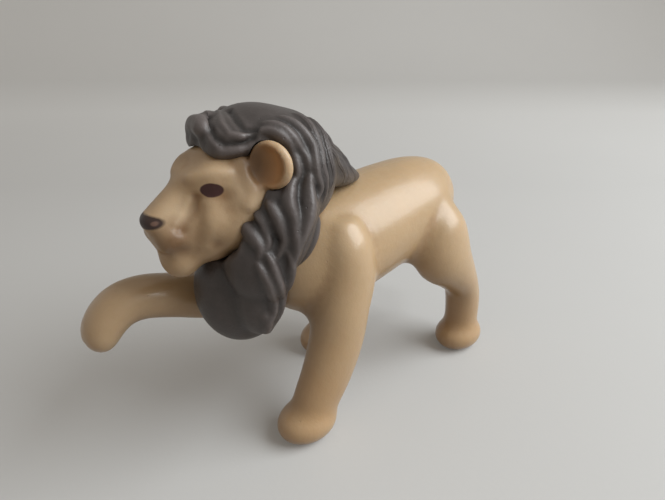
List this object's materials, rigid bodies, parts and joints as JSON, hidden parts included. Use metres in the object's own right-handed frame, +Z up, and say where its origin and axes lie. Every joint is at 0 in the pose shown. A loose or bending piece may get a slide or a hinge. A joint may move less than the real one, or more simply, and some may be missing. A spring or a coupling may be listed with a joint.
{
  "type": "toy lion figure",
  "caption": "Hard plastic lion play figure with a dark sculpted mane and a raised forepaw, standing on flat soles; the head and mane turn on a neck post.",
  "frame": {"origin": "middle of the figure's outline on the surface that its soles stand on", "axes": "the lion faces -Y, its left side is +X, +Z is up"},
  "size_m": [0.0324, 0.0963, 0.068],
  "materials": {
    "body_plastic": "satin tan moulded plastic",
    "face_plastic": "satin light tan moulded plastic",
    "mane_plastic": "satin dark grey-brown moulded plastic",
    "post_plastic": "plain grey moulded plastic"
  },
  "bodies": {
    "body": {"body_left_half": "body_plastic", "body_right_half": "body_plastic", "tail": "body_plastic", "tail_tuft": "mane_plastic"},
    "head": {"neck_post": "post_plastic", "head_shell": "face_plastic", "mane": "mane_plastic"}
  },
  "joints": [
    {"name": "head_turn", "type": "hinge", "parent": "body", "child": "head", "pos_m": [0, -0.0022, 0.0376], "axis": [0, -0.766, 0.6428], "range_deg": [-10, 25]}
  ]
}
